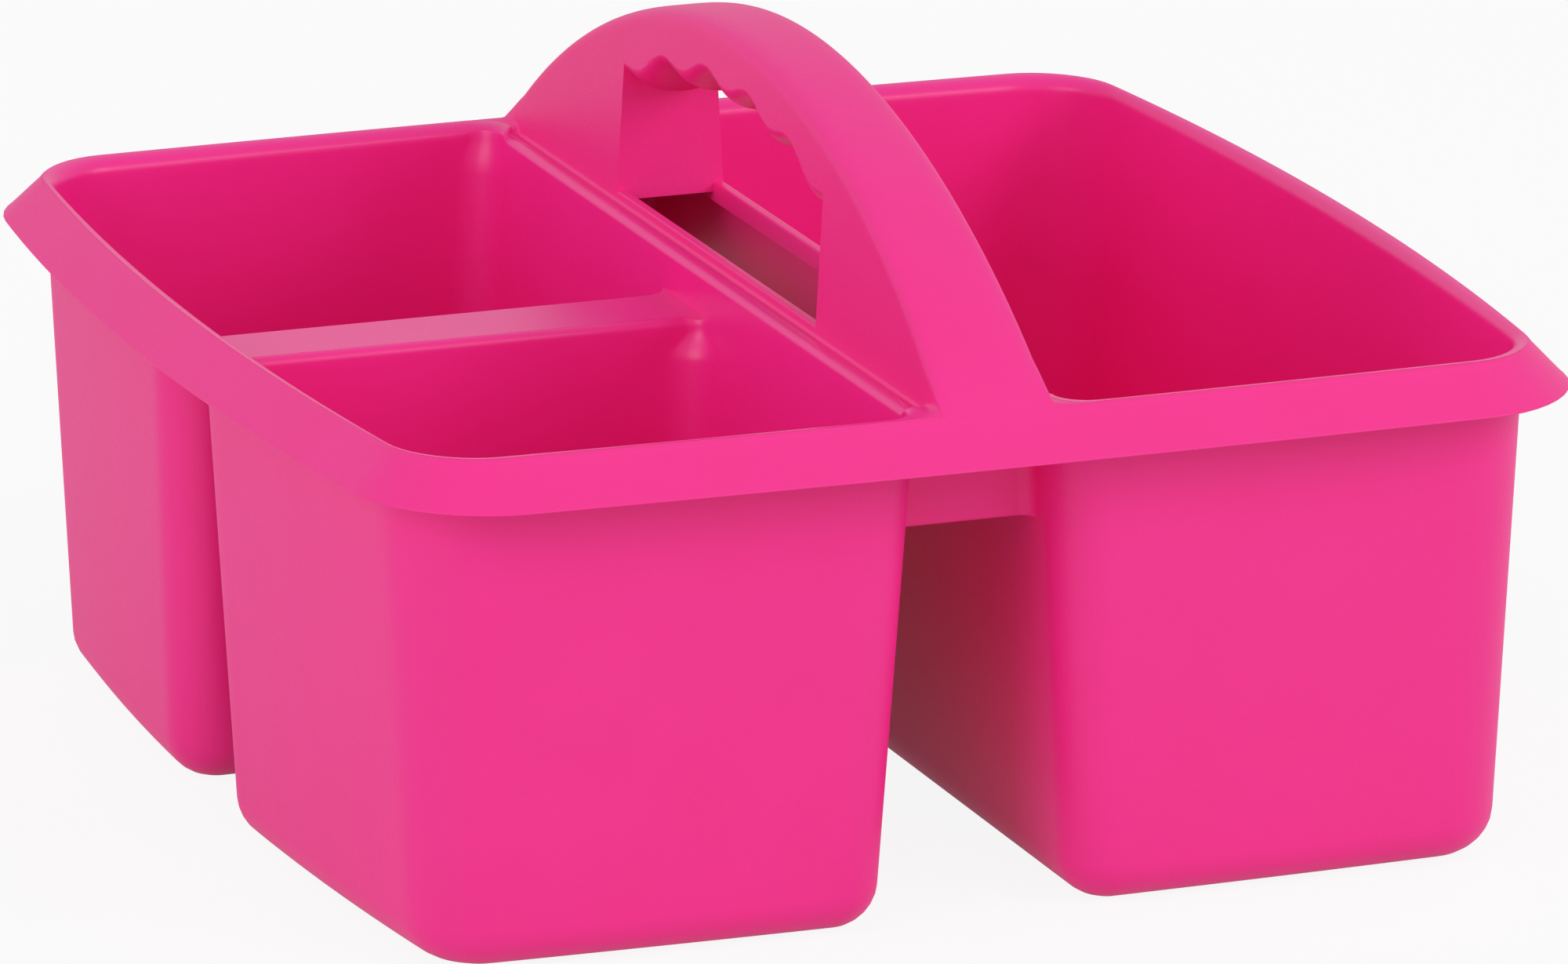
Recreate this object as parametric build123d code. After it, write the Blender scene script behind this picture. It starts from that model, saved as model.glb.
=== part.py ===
from build123d import *
import os
from math import acos, asin, atan2, cos, degrees, hypot, radians, sin, sqrt, tan

# Cleaning caddy: three bins, a sloping rim and a fixed arched handle, moulded in one piece.
# Each region of the moulding is its own closed solid and meets its neighbours face to face.
# Millimetres. +X points to the big bin, -Y to the front, +Z up, Z = 0 is under the bins.

# Moulding
wall = 1.8
floor = 2.0

# Rim: a skirt that slopes down and out from its crest to its lower edge
rim_half_x = 114.3
rim_half_y = 117.5
rim_side_bow = 8.4
rim_end_bow = 1.9
rim_corner_radius = 25.5
crest_z = 90.6
skirt_drop = 7.3
skirt_run_x = 7.1
skirt_run_y = 9.5
crest_side_bow = 6.9
crest_end_bow = 1.4
crest_corner_radius = 16.5
crest_land = 0.6
crest_round = 1.8

# Bins: how far their outer faces lie inside the rim's edge where they meet it, and their draft
bin_top_drop = 8.5
bin_inset_x = 8.1
bin_inset_y = 11.3
bin_side_bow = 5.4
bin_end_bow = 1.9
bin_corner_radius = 17.5
base_draft_x = 3.6
base_draft_y = 3.2
base_side_bow = 5.9
base_end_bow = 1.9
base_corner_radius = 13.3
base_edge_radius = 7.4

# Middle gap between the left bins and the right bin, and slot between the two left bins
gap_draft = 5.0
slot_center_y = 4.0
slot_top_half = 7.2
slot_draft = 4.9
divider_corner_radius = 9.0
mouth_corner_radius = 3.5

# Ledges beside the handle, and aprons that close the ends of the gap under the rim
ledge_drop = 1.2
ledge_width = 1.9
ledge_setback = 6.8
apron_setback = 16.5
apron_height = 15.1

# Handle
overall_height = 131.2
handle_half_width = 10.1
handle_draft = 3.3
crown_radius = 165.0
crown_half_angle = 32.0
strip_edge_radius = 1.2

# Hand hole and finger grip
hole_half_length = 49.0
hole_lip = 1.8
grip_height = 7.6
grip_arc_radius = 140.0
bump_pitch = 20.0
bump_count = 5
bump_depth = 6.8
groove_depth = 3.3

rim_edge_z = crest_z - skirt_drop
crest_half_x = rim_half_x - skirt_run_x
crest_half_y = rim_half_y - skirt_run_y
bin_top_z = crest_z - bin_top_drop
bin_half_x = rim_half_x - bin_inset_x
bin_half_y = rim_half_y - bin_inset_y
base_half_x = bin_half_x - base_draft_x
base_half_y = bin_half_y - base_draft_y
gap_top_half = handle_half_width + ledge_width
gap_base_half = gap_top_half + gap_draft
slot_base_half = slot_top_half + slot_draft
ledge_top_z = crest_z - ledge_drop
ledge_low_z = ledge_top_z - wall
ledge_end_y = crest_half_y - ledge_setback
apron_face_y = crest_half_y - apron_setback
apron_back_y = apron_face_y - wall
apron_low_z = bin_top_z - apron_height
reach = 2 * max(rim_half_x, rim_half_y)
hole_low_z = ledge_top_z + hole_lip
handle_slope = tan(radians(handle_draft))


def arc_radius(half_chord, bow):
    """Radius of the arc that rises by bow over a chord of twice half_chord."""
    return (half_chord**2 + bow**2) / (2 * bow)


def outline(half_x, half_y, side_bow, end_bow, corner, z):
    """Face of a rounded rectangle with bowed sides at height z."""
    x = half_x - side_bow
    y = half_y - end_bow
    edges = [
        ThreePointArc((-x, -y), (0, -half_y), (x, -y)),
        ThreePointArc((x, -y), (half_x, 0), (x, y)),
        ThreePointArc((x, y), (0, half_y), (-x, y)),
        ThreePointArc((-x, y), (-half_x, 0), (-x, -y)),
    ]
    face = make_face(edges)
    return Pos(0, 0, z) * fillet(face.vertices(), corner)


def crest_outline(inset, z):
    """The crest's outline, moved in by inset."""
    return outline(
        crest_half_x - inset,
        crest_half_y - inset,
        crest_side_bow,
        crest_end_bow,
        crest_corner_radius - inset,
        z,
    )


def box(x0, x1, y0, y1, z0, z1):
    """Box between two corners."""
    size = Box(x1 - x0, y1 - y0, z1 - z0)
    return Pos((x0 + x1) / 2, (y0 + y1) / 2, (z0 + z1) / 2) * size


class Level:
    """Outer faces of the walls at one height: sizes, bows and corners."""

    def __init__(self, z, half_x, half_y, side_bow, end_bow, corner, gap_half, slot_half, divider_corner):
        self.z = z
        self.half_x = half_x
        self.half_y = half_y
        self.side_bow = side_bow
        self.end_bow = end_bow
        self.corner = corner
        self.gap_half = gap_half
        self.slot_half = slot_half
        self.divider_corner = divider_corner

    def moved_in(self, inset, z):
        """The same level with every wall moved in by inset, at height z."""
        return Level(
            z,
            self.half_x - inset,
            self.half_y - inset,
            self.side_bow,
            self.end_bow,
            self.corner - inset,
            self.gap_half + inset,
            self.slot_half + inset,
            self.divider_corner - inset,
        )

    def blend(self, other, z):
        """Level at height z on the straight walls between this level and another."""
        share = (z - self.z) / (other.z - self.z)
        names = ["half_x", "half_y", "side_bow", "end_bow", "corner", "gap_half", "slot_half", "divider_corner"]
        values = [(1 - share) * getattr(self, name) + share * getattr(other, name) for name in names]
        return Level(z, *values)

    def side_x(self, y):
        """Distance of the bowed side wall from the middle, at y."""
        radius = arc_radius(self.half_y - self.end_bow, self.side_bow)
        return self.half_x - radius + sqrt(radius**2 - y**2)

    def end_y(self, x):
        """Distance of the bowed front or rear wall from the middle, at x."""
        radius = arc_radius(self.half_x - self.side_bow, self.end_bow)
        return self.half_y - radius + sqrt(radius**2 - x**2)

    def face(self, side, front=None, rear=None):
        """Outline of a bin on one side, from wall to wall or only to the slot at front or rear."""
        corner_x = self.half_x - self.side_bow
        corner_y = self.half_y - self.end_bow
        near = self.gap_half
        low = -corner_y if front is None else front
        high = corner_y if rear is None else rear
        low_x = corner_x if front is None else self.side_x(front)
        high_x = corner_x if rear is None else self.side_x(rear)
        low_near = -self.end_y(near) if front is None else front
        high_near = self.end_y(near) if rear is None else rear
        middle_x = (near + corner_x) / 2
        middle_y = (low + high) / 2
        if front is None:
            low_edge = ThreePointArc((near, low_near), (middle_x, -self.end_y(middle_x)), (low_x, low))
        else:
            low_edge = Line((near, low_near), (low_x, low))
        if rear is None:
            high_edge = ThreePointArc((high_x, high), (middle_x, self.end_y(middle_x)), (near, high_near))
        else:
            high_edge = Line((high_x, high), (near, high_near))
        side_edge = ThreePointArc((low_x, low), (self.side_x(middle_y), middle_y), (high_x, high))
        face = make_face([low_edge, side_edge, high_edge, Line((near, high_near), (near, low_near))])
        corners = [
            (low_x, low, self.corner if front is None else self.divider_corner),
            (high_x, high, self.corner if rear is None else self.divider_corner),
            (near, low_near, self.divider_corner),
            (near, high_near, self.divider_corner),
        ]
        for x, y, radius in corners:
            face = fillet(face.vertices().sort_by_distance((x, y))[0], radius)
        if side < 0:
            face = mirror(face, about=Plane.YZ)
        return Pos(0, 0, self.z) * face


top_level = Level(
    bin_top_z,
    bin_half_x,
    bin_half_y,
    bin_side_bow,
    bin_end_bow,
    bin_corner_radius,
    gap_top_half,
    slot_top_half,
    divider_corner_radius,
)
base_level = Level(
    0,
    base_half_x,
    base_half_y,
    base_side_bow,
    base_end_bow,
    base_corner_radius,
    gap_base_half,
    slot_base_half,
    divider_corner_radius,
)


def bin_body(side, inset, lift, front=0, rear=0):
    """Solid under one bin's outer faces, or its hollow when inset and lifted.

    front or rear of 1 ends the bin at the slot instead of at the rim."""
    low = base_level.blend(top_level, lift).moved_in(inset, lift)
    high = top_level.moved_in(inset, bin_top_z)
    faces = []
    for level in (low, high):
        front_y = slot_center_y + level.slot_half if front else None
        rear_y = slot_center_y - level.slot_half if rear else None
        faces.append(level.face(side, front_y, rear_y))
    body = loft(faces, ruled=True)
    bottom = body.faces().sort_by(Axis.Z)[0]
    return fillet(bottom.edges(), base_edge_radius - inset)


bin_sides = {
    "front_left_bin": dict(side=-1, rear=1),
    "rear_left_bin": dict(side=-1, front=1),
    "right_bin": dict(side=1),
}
bin_solids = {name: bin_body(inset=0, lift=0, **where) for name, where in bin_sides.items()}
nodes = {}
for name, where in bin_sides.items():
    nodes[name] = bin_solids[name] - bin_body(inset=wall, lift=floor, **where)


def mouth(side):
    """Opening above the bins on one side, with a rounded edge at the crest."""
    straight_z = crest_z - crest_round
    levels = [top_level.moved_in(wall, bin_top_z)]
    for angle in (0, 30, 60, 90):
        inset = crest_land + crest_round * cos(radians(angle))
        z = straight_z + crest_round * sin(radians(angle))
        level = Level(
            z,
            crest_half_x - inset,
            crest_half_y - inset,
            crest_side_bow,
            crest_end_bow,
            crest_corner_radius - inset,
            gap_top_half + wall,
            slot_top_half,
            mouth_corner_radius,
        )
        levels.append(level)
    return loft([level.face(side) for level in levels], ruled=True)


# Rim and ledges: one ring above the bins, hollow under its skirt, split into its regions
skirt_x = wall / sin(atan2(crest_z - rim_edge_z, rim_half_x - crest_half_x))
skirt_y = wall / sin(atan2(crest_z - rim_edge_z, rim_half_y - crest_half_y))


def skirt_body(inset_x, inset_y, inset_corner):
    """Solid under the skirt's outer face, or the hollow inside it when inset."""
    low = outline(
        rim_half_x - inset_x,
        rim_half_y - inset_y,
        rim_side_bow,
        rim_end_bow,
        rim_corner_radius - inset_corner,
        rim_edge_z,
    )
    high = outline(
        crest_half_x - inset_x,
        crest_half_y - inset_y,
        crest_side_bow,
        crest_end_bow,
        crest_corner_radius - inset_corner,
        crest_z,
    )
    return loft([low, high], ruled=True)


wall_low = outline(bin_half_x, bin_half_y, bin_side_bow, bin_end_bow, bin_corner_radius, bin_top_z)
wall_ring = loft([wall_low, crest_outline(crest_land, crest_z)], ruled=True)
gap_hollow = box(-gap_top_half, gap_top_half, -apron_back_y, apron_back_y, bin_top_z, ledge_low_z)
wall_ring -= gap_hollow
for sign in (-1, 1):
    near_y, far_y = sorted((sign * apron_face_y, sign * rim_half_y))
    wall_ring -= box(-gap_top_half, gap_top_half, near_y, far_y, bin_top_z, ledge_low_z)
deck = skirt_body(0, 0, 0) - skirt_body(skirt_x, skirt_y, wall) + wall_ring
deck -= mouth(-1)
deck -= mouth(1)
inner_half = handle_half_width - wall
ledge_zone = box(-reach, reach, -ledge_end_y, ledge_end_y, ledge_top_z, crest_z)
middle_half = gap_top_half + 2 * wall
ledge_zone &= box(-middle_half, middle_half, -reach, reach, 0, overall_height)
deck -= ledge_zone
deck -= box(-inner_half, inner_half, -apron_back_y, apron_back_y, bin_top_z, crest_z)

for sign, name in ((-1, "left_ledge"), (1, "right_ledge")):
    near_x, far_x = sorted((0, sign * middle_half))
    zone = box(near_x, far_x, -apron_back_y, apron_back_y, bin_top_z, crest_z)
    nodes[name] = deck & zone
    deck -= zone

corner_x = rim_half_x - rim_side_bow
corner_y = rim_half_y - rim_end_bow


def rim_sector(x, y):
    """Wedge of space around one side of the ring, between the diagonals through its corners."""
    if y:
        points = [(0, 0), (-corner_x * 2, y * corner_y * 2), (corner_x * 2, y * corner_y * 2)]
    else:
        points = [(0, 0), (x * corner_x * 2, -corner_y * 2), (x * corner_x * 2, corner_y * 2)]
    face = make_face(Polyline(points, close=True))
    return extrude(face, overall_height)


for name, x, y in (("rim_front", 0, -1), ("rim_rear", 0, 1), ("rim_left", -1, 0), ("rim_right", 1, 0)):
    nodes[name] = deck & rim_sector(x, y)

# Strip that joins the tops of the two left bins across their slot
slot_low = slot_center_y - slot_top_half - divider_corner_radius
slot_high = slot_center_y + slot_top_half + divider_corner_radius
bridge = box(-reach, -gap_top_half, slot_low, slot_high, bin_top_z - wall, bin_top_z)
shell_outline = outline(bin_half_x, bin_half_y, bin_side_bow, bin_end_bow, bin_corner_radius, bin_top_z - wall)
bridge &= extrude(shell_outline, wall)
for name in ("front_left_bin", "rear_left_bin"):
    bridge -= bin_solids[name]
nodes["left_bin_bridge"] = bridge

# Aprons that close the front and rear ends of the gap under the rim
apron_half = gap_top_half + divider_corner_radius
for sign, name in ((-1, "front_gap_panel"), (1, "rear_gap_panel")):
    near_y, far_y = sorted((sign * apron_face_y, sign * apron_back_y))
    apron = box(-apron_half, apron_half, near_y, far_y, apron_low_z, bin_top_z)
    for solid in bin_solids.values():
        apron -= solid
    nodes[name] = apron

# Handle: arched profile in the Y-Z plane, a crown arc and two flank arcs down to the rim's crest
crown_center_z = overall_height - crown_radius
shoulder = radians(crown_half_angle)
shoulder_y = crown_radius * sin(shoulder)
shoulder_z = crown_center_z + crown_radius * cos(shoulder)
foot_y = crest_half_y
run = foot_y - shoulder_y
drop = shoulder_z - crest_z
flank_radius = (run**2 + drop**2) / (2 * (drop * cos(shoulder) - run * sin(shoulder)))
flank_center_y = shoulder_y - flank_radius * sin(shoulder)
flank_center_z = shoulder_z - flank_radius * cos(shoulder)


def arch_point(depth, angle):
    """Point of the flank arc, moved in by depth, at an angle from the upright."""
    radius = flank_radius - depth
    return (flank_center_y + radius * sin(angle), flank_center_z + radius * cos(angle))


def mirrored(point):
    return (-point[0], point[1])


def arch_body(depth, low_z):
    """Space under the arch moved in by depth and above low_z, across the whole width."""
    foot_angle = acos((low_z - flank_center_z) / (flank_radius - depth))
    foot = arch_point(depth, foot_angle)
    middle = arch_point(depth, (shoulder + foot_angle) / 2)
    top = arch_point(depth, shoulder)
    edges = [
        ThreePointArc(foot, middle, top),
        ThreePointArc(top, (0, overall_height - depth), mirrored(top)),
        ThreePointArc(mirrored(top), mirrored(middle), mirrored(foot)),
        Line(mirrored(foot), foot),
    ]
    face = Plane.YZ * make_face(edges)
    return extrude(face, reach / 2, both=True)


def handle_wedge(inset):
    """Space between the webs' drafted outer faces, or between their inner faces when inset."""
    low = handle_half_width - inset
    high = low - handle_slope * (overall_height - ledge_top_z)
    points = [
        (-low, ledge_top_z),
        (low, ledge_top_z),
        (high, overall_height),
        (-high, overall_height),
    ]
    face = Plane.XZ * make_face(Polyline(points, close=True))
    return extrude(face, reach / 2, both=True)


strip = (arch_body(0, crest_z) - arch_body(wall, crest_z)) & handle_wedge(0)


def on_top(edge):
    """Whether an edge runs along the arch's outer face."""
    middle = edge @ 0.5
    y = abs(middle.Y)
    if y < shoulder_y:
        return hypot(y, middle.Z - crown_center_z) > crown_radius - wall / 4
    return hypot(y - flank_center_y, middle.Z - flank_center_z) > flank_radius - wall / 4


long_edges = [edge for edge in strip.edges() if abs((edge @ 0.5).X) > wall and on_top(edge)]
strip = fillet(long_edges, strip_edge_radius)
nodes["handle_top_strip"] = strip

under_strip = arch_body(wall, ledge_top_z)
grip_center_z = overall_height - grip_height - grip_arc_radius
hole_space = box(-reach, reach, -hole_half_length, hole_half_length, hole_low_z, overall_height)
valley = Pos(0, 0, grip_center_z) * Rot(0, 90, 0) * Cylinder(grip_arc_radius, 2 * reach)
rim_zone = box(-reach, reach, ledge_end_y, reach, 0, crest_z)
rim_zone += box(-reach, reach, -reach, -ledge_end_y, 0, crest_z)
webs = under_strip & (handle_wedge(0) - handle_wedge(wall))
webs -= hole_space & valley
webs -= rim_zone
for sign, name in ((-1, "handle_left_web"), (1, "handle_right_web")):
    near_x, far_x = sorted((0, sign * reach))
    nodes[name] = webs & box(near_x, far_x, -reach, reach, 0, overall_height)

inner_space = under_strip & handle_wedge(wall)
for sign, name in ((-1, "front_hole_panel"), (1, "rear_hole_panel")):
    near_y, far_y = sorted((sign * hole_half_length, sign * (hole_half_length + wall)))
    nodes[name] = inner_space & box(-reach, reach, near_y, far_y, ledge_top_z, overall_height)

# Finger grip: a bar between the webs with a rounded belly, grooved between its bumps
grip_core = (inner_space & hole_space) - valley
belly_half = handle_half_width - handle_slope * (overall_height - grip_height - ledge_top_z)
belly_z = grip_center_z + grip_arc_radius
belly_section = Pos(0, belly_z) * Ellipse(belly_half, bump_depth)
belly_section &= Pos(0, belly_z - bump_depth / 2) * Rectangle(2 * belly_half, bump_depth)
belly_turn = 2 * degrees(asin(hole_half_length / (grip_arc_radius - bump_depth))) + 4
belly_axis = Axis((0, 0, grip_center_z), (1, 0, 0))
belly = revolve(Plane.XZ * belly_section, belly_axis, belly_turn)
belly = belly.rotate(belly_axis, -belly_turn / 2)
belly &= box(-reach, reach, -hole_half_length, hole_half_length, 0, overall_height)
bump_radius = grip_arc_radius - bump_depth
groove_radius = ((0.4 * bump_pitch) ** 2 + groove_depth**2) / (2 * groove_depth)
for index in range(bump_count + 1):
    position = (index - bump_count / 2) * bump_pitch
    angle = position / bump_radius
    center_radius = bump_radius + groove_depth - groove_radius
    center_y = center_radius * sin(angle)
    center_z = grip_center_z + center_radius * cos(angle)
    belly -= Pos(0, center_y, center_z) * Rot(0, 90, 0) * Cylinder(groove_radius, 2 * reach)
nodes["finger_grip"] = grip_core + belly

os.makedirs("parts", exist_ok=True)
for name, solid in nodes.items():
    export_step(solid, f"parts/{name}.step")
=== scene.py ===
# %% [markdown]
# A cleaning caddy is three open tubs, a sloping rim all round and an arched handle, all moulded in
# one go from pink plastic. It could be drawn as one mesh, but then no wall could be checked by
# itself. Here every region is its own closed piece, drawn from the same few sizes, so that the
# pieces meet without a gap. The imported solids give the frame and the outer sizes.

import bpy
import numpy as np
from mathutils import Matrix, Vector


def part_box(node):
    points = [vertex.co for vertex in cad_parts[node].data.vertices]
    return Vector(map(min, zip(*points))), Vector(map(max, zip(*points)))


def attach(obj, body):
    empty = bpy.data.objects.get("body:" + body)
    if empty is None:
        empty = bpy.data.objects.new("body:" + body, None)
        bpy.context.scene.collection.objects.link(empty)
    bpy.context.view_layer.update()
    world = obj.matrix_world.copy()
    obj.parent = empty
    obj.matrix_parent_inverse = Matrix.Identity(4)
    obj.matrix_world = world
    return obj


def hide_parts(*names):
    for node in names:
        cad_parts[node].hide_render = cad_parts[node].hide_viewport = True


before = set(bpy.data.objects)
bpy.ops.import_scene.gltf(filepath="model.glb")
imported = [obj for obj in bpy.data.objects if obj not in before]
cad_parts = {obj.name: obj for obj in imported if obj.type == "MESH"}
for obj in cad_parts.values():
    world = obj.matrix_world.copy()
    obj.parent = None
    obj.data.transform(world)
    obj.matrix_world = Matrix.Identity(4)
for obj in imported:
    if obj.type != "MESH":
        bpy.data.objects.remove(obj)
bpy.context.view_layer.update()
to_mm = 1000.0


def node_box(name):
    """Lowest and highest corner of a CAD node in millimetres."""
    low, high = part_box(name)
    return np.array(low) * to_mm, np.array(high) * to_mm


rim_half_x, _, crest_z = node_box("rim_right")[1]
rim_half_y = node_box("rim_rear")[1][1]
tub_top_z = node_box("right_bin")[1][2]
overall_height = node_box("handle_top_strip")[1][2]
panel_low, panel_high = node_box("rear_gap_panel")
apron_back_y, apron_face_y, apron_low_z = panel_low[1], panel_high[1], panel_low[2]
print("rim reaches", np.round([rim_half_x, rim_half_y], 1), "crest", round(crest_z, 1))
print("tubs end at", round(tub_top_z, 1), "handle top", round(overall_height, 1))
print("aprons from", round(apron_back_y, 1), "to", round(apron_face_y, 1))

# %% [markdown]
# A moulded caddy has one wall thickness nearly everywhere, and every wall leans a few degrees so
# that it leaves the mould. The sizes that the frame doesn't give are written here once, in
# millimetres, and each piece below takes its own from them.

# %% Sizes of the moulding
wall = 1.8
floor_thickness = 2.0
skirt_run_x = 7.1
skirt_run_y = 9.5
base_edge_radius = 7.4
divider_corner = 9.0
gap_top_half = 12.0
gap_base_half = 17.0
slot_middle_y = 4.0
slot_top_half = 7.2
slot_base_half = 12.1
ledge_drop = 1.2
ledge_setback = 6.8
ledge_ramp = 2.4
ledge_top_z = crest_z - ledge_drop
ledge_end_y = rim_half_y - skirt_run_y - ledge_setback
print("ledges at", round(ledge_top_z, 1), "high, up to", round(ledge_end_y, 1))

# %% [markdown]
# Seen from above, each edge is a rounded rectangle whose sides swell a little in the middle. Four
# such outlines describe the whole caddy: the rim's lower edge, its crest, the top of the tubs and
# their base. Straight walls are then a plain blend from one outline to the next, which is quicker
# to correct than a drawing of each wall.

# %% Outlines at four heights
rim_edge = dict(half_x=rim_half_x, half_y=rim_half_y, side_bow=8.4, end_bow=1.9, corner=21.3)
crest = dict(
    half_x=rim_half_x - skirt_run_x,
    half_y=rim_half_y - skirt_run_y,
    side_bow=6.9,
    end_bow=1.4,
    corner=14.2,
)
tub_top = dict(half_x=106.2, half_y=106.2, side_bow=5.4, end_bow=1.9, corner=15.35)
tub_base = dict(half_x=102.6, half_y=103.0, side_bow=5.9, end_bow=1.9, corner=11.5)


def smoothstep(t):
    """S-shaped rise from 0 to 1, level at both ends: 3t^2 - 2t^3."""
    t = np.clip(t, 0, 1)
    return t * t * (3 - 2 * t)


def column(value):
    """A number or list as a column: one row of the grid per entry."""
    return np.asarray(value, float).reshape(-1, 1)


def blend(a, b, share):
    """Sizes part of the way from outline a to b: a (1 - share) + b share, one row per share."""
    share = column(share)
    return {key: a[key] * (1 - share) + b[key] * share for key in a}


def tub_level(z, inset=0.0):
    """Sizes of the tub walls' face at heights z, moved in by inset: straight lines with height."""
    level = blend(tub_base, tub_top, np.asarray(z) / tub_top_z)
    for key in ("half_x", "half_y", "corner"):
        level[key] = level[key] - column(inset)
    return level


lean = np.degrees(np.arctan((tub_top["half_x"] - tub_base["half_x"]) / tub_top_z))
print("side walls lean", round(lean, 2), "degrees")

# %% [markdown]
# A mesh wants the same number of points in every outline, at matching places. So an outline is
# walked as four quarter circles joined by four straight sides, always in the same order and with
# the same steps, and the swelling of the sides is added afterwards as a parabola. The side beside
# the handle has extra steps near its ends, where its edge climbs.

# %% Rounded rectangles
corner_points = 11
side_points = 32
corner_turns = np.linspace(0, np.pi / 2, corner_points)
even_steps = np.linspace(0, 1, side_points + 2)[1:-1]
end_steps = np.array([3, 6, 8, 9, 10, 11, 12, 13, 14, 16, 25, 45]) / 1000
ledge_steps = np.concatenate([end_steps, np.linspace(0.08, 0.92, 22), 1 - end_steps[::-1]])


def corner_start(index):
    """Place in the walk where a corner starts; corner 0 is the near-low one."""
    return index * (corner_points + side_points)


def rounded_loop(x0, x1, y0, y1, near_low, far_low, far_high, near_high):
    """Rectangles with rounded corners, one per row: quarter circles joined by straight sides.

    The walk starts at the near-low corner and goes on along the low side. A corner is
    centre + radius (cos a, sin a)."""
    corners = [
        (x0, y0, 1, 1, near_low, np.pi),
        (x1, y0, -1, 1, far_low, 1.5 * np.pi),
        (x1, y1, -1, -1, far_high, 0.0),
        (x0, y1, 1, -1, near_high, 0.5 * np.pi),
    ]
    arcs = []
    for x, y, to_x, to_y, radius, start in corners:
        radius = column(radius)
        angle = start + corner_turns
        round_x = column(x) + to_x * radius + radius * np.cos(angle)
        round_y = column(y) + to_y * radius + radius * np.sin(angle)
        arcs.append((round_x, round_y))
    xs, ys = [], []
    for index, (round_x, round_y) in enumerate(arcs):
        next_x, next_y = arcs[(index + 1) % 4]
        steps = ledge_steps if index == 3 else even_steps
        xs += [round_x, round_x[:, -1:] + (next_x[:, :1] - round_x[:, -1:]) * steps]
        ys += [round_y, round_y[:, -1:] + (next_y[:, :1] - round_y[:, -1:]) * steps]
    return np.concatenate(xs, 1), np.concatenate(ys, 1)


print("points in a loop:", corner_start(3) + corner_points + ledge_steps.size)

# %% [markdown]
# The swelling stiffens the long walls of the real caddy and keeps them from looking dented. It
# could be a Simple Deform modifier, but that bends all sides alike. A parabola added to each
# point lets a tub's far side swell while its side beside the handle stays straight.

# %% Loops of one tub and of the whole caddy
def half_loop(level, near_x, near_corner, low_y=None, high_y=None, slot_corner=None):
    """Loops of one tub or mouth, right of the middle.

    The far side bows by side_bow * (y / half_y)^2, fading to nothing at the near side; the ends
    bow by end_bow * (x / half_x)^2. An end that is given lies at the slot."""
    half_x, half_y = level["half_x"], level["half_y"]
    near_x, near_corner = column(near_x), column(near_corner)
    slot_corner = near_corner if slot_corner is None else column(slot_corner)
    low = -half_y if low_y is None else column(low_y)
    high = half_y if high_y is None else column(high_y)
    far_low = level["corner"] if low_y is None else slot_corner
    far_high = level["corner"] if high_y is None else slot_corner
    near_low = near_corner if low_y is None else slot_corner
    near_high = near_corner if high_y is None else slot_corner
    x, y = rounded_loop(near_x, half_x, low, high, near_low, far_low, far_high, near_high)
    share = (x - near_x) / (half_x - near_x)
    bowed_x = x - level["side_bow"] * (y / half_y) ** 2 * share
    bowed_y = y * (1 - level["end_bow"] / half_y * (x / half_x) ** 2)
    return bowed_x, bowed_y


def full_loop(level):
    """Loops all round the caddy: x (1 - bow / half (y / half)^2), and the same for y."""
    half_x, half_y, corner = level["half_x"], level["half_y"], level["corner"]
    x, y = rounded_loop(-half_x, half_x, -half_y, half_y, corner, corner, corner, corner)
    bowed_x = x * (1 - level["side_bow"] / half_x * (y / half_y) ** 2)
    bowed_y = y * (1 - level["end_bow"] / half_y * (x / half_x) ** 2)
    return bowed_x, bowed_y


def stack(parts, mirrored=False):
    """Loops of shape (rows, points, 3) from lists of x, y and z rows."""
    x = np.concatenate([part[0] for part in parts])
    y = np.concatenate([part[1] for part in parts])
    z = np.concatenate([np.broadcast_to(part[2], part[0].shape) for part in parts])
    return np.stack([-x if mirrored else x, y, z], -1)


crest_x, crest_y = full_loop(blend(crest, crest, 0))
print("crest outline reaches", round(crest_x.max(), 1), "and", round(crest_y.max(), 1))

# %% [markdown]
# A stack of loops becomes a mesh when each loop is joined to the next by four-sided faces. By
# hand that is Bridge Edge Loops; in numpy it is a table of corner numbers. The ends are closed in
# one of three ways: a fan round a middle point, folding the loop flat, or joining the last loop
# to the first as in a ring. So no piece has holes, and the sign of its volume shows whether its
# faces look outwards.

# %% Faces between loops
def grid_faces(rows, points, wrap):
    """Corner numbers of the faces between neighbouring rows, each row closed on itself."""
    row = np.arange(rows if wrap else rows - 1)[:, None]
    point = np.arange(points)[None, :]
    after = (point + 1) % points
    below = (row + 1) % rows
    quads = [
        row * points + point,
        row * points + after,
        below * points + after,
        below * points + point,
    ]
    return np.stack(quads, -1).reshape(-1, 4)


def fold_faces(first, points, turned):
    """Faces that close one loop by joining each point to its opposite across the fold."""
    a = first + np.arange(points // 2 - 1)
    b = first + points - 1 - np.arange(points // 2 - 1)
    quads = np.stack([a, b, b - 1, a + 1], -1)
    return quads[:, ::-1] if turned else quads


def fan_faces(first, points, middle, turned):
    """Triangles that close one loop by joining each of its edges to a middle point."""
    point = np.arange(points)
    triangles = np.stack([first + point, first + (point + 1) % points, point * 0 + middle], -1)
    return triangles[:, [1, 0, 2]] if turned else triangles


def signed_volume(corners, quads, triangles):
    """Sum over triangles of a . (b x c) / 6, which is above 0 if the faces look outwards."""
    halves = np.concatenate([quads[:, [0, 1, 2]], quads[:, [0, 2, 3]], triangles])
    a, b, c = (corners[halves[:, k]] for k in range(3))
    return np.einsum("ij,ij->i", a, np.cross(b, c)).sum() / 6


print("a stack of two square loops has", len(grid_faces(2, 4, False)), "sides")


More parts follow.
